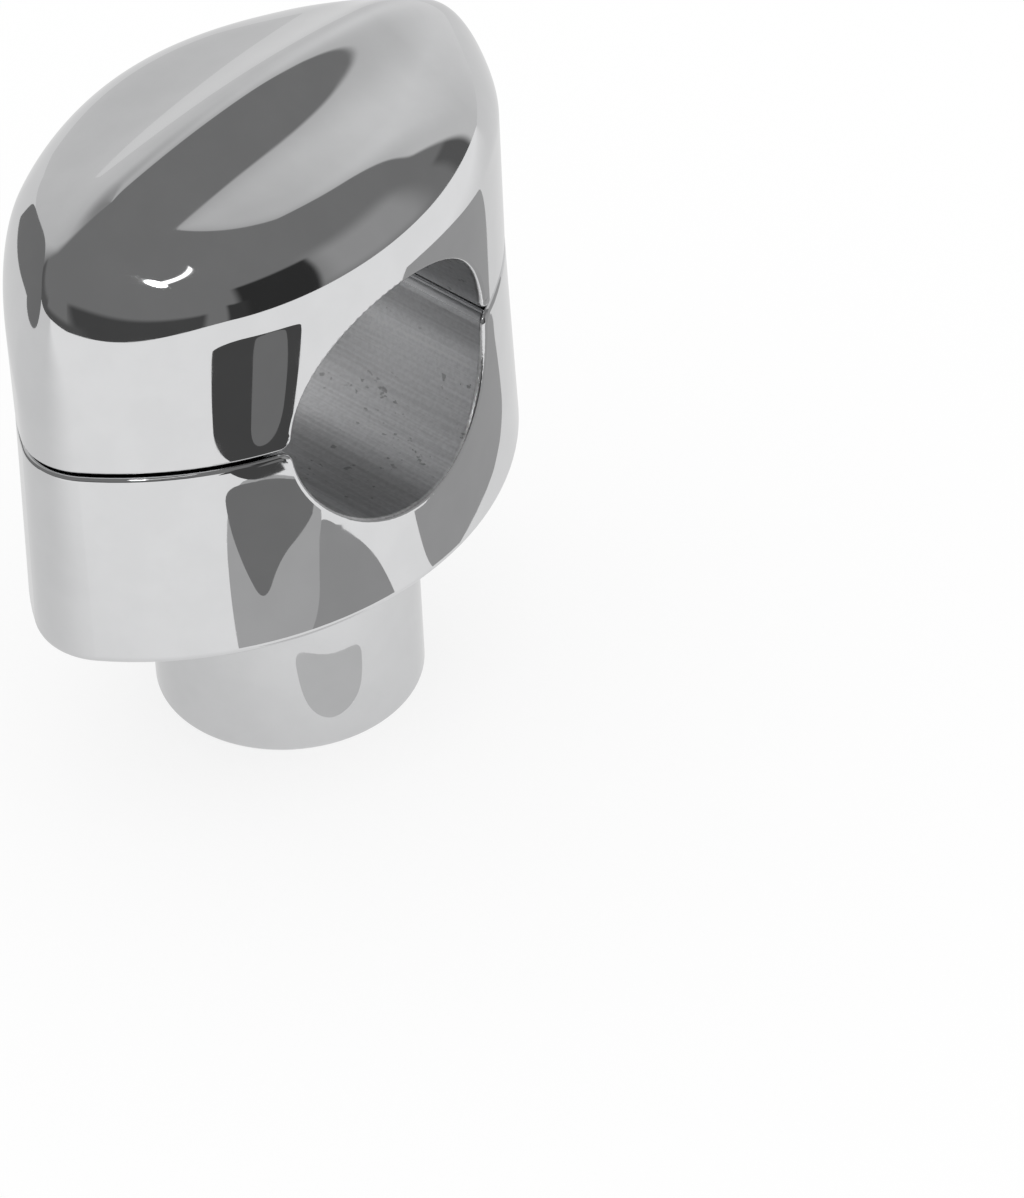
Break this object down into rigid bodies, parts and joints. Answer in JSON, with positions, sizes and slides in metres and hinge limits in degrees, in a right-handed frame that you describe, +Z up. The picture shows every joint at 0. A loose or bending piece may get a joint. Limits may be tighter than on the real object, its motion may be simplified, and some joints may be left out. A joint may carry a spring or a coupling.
{
  "type": "motorcycle bar riser",
  "caption": "Polished handlebar riser: a leaf-shaped clamp for a one inch bar on a round boss, with a crested cap held by cap screws from below.",
  "frame": {"origin": "centre of the boss's bottom face", "axes": "+Z up along the boss's axis, +X along the handlebar's axis, +Y towards the rear screw, where the cap's nose is higher"},
  "size_m": [0.0386, 0.0592, 0.0679],
  "materials": {
    "polished_casting": "polished",
    "plated_screw": "satin",
    "spring_steel": "satin"
  },
  "bodies": {
    "base": {"riser_body": "polished_casting", "lock_washer_front": "spring_steel", "lock_washer_rear": "spring_steel"},
    "cap": {"clamp_cap": "polished_casting"},
    "screw_front": {"cap_screw_front": "plated_screw"},
    "screw_rear": {"cap_screw_rear": "plated_screw"}
  },
  "joints": [
    {"name": "screw_front_turn", "type": "hinge", "parent": "base", "child": "screw_front", "pos_m": [0, -0.01995, 0.02954], "axis": [0, 0, -1], "range_deg": [0, 2880]},
    {"name": "screw_rear_turn", "type": "hinge", "parent": "base", "child": "screw_rear", "pos_m": [0, 0.01995, 0.02954], "axis": [0, 0, -1], "range_deg": [0, 2880]},
    {"name": "cap_lift", "type": "slide", "parent": "base", "child": "cap", "axis": [0, 0, 1], "range_m": [0, 0.01128]}
  ],
  "couplings": [
    {"joint": "screw_front_turn", "follows": "cap_lift", "rad_per_m": 4452.7},
    {"joint": "screw_rear_turn", "follows": "cap_lift", "rad_per_m": 4452.7}
  ]
}
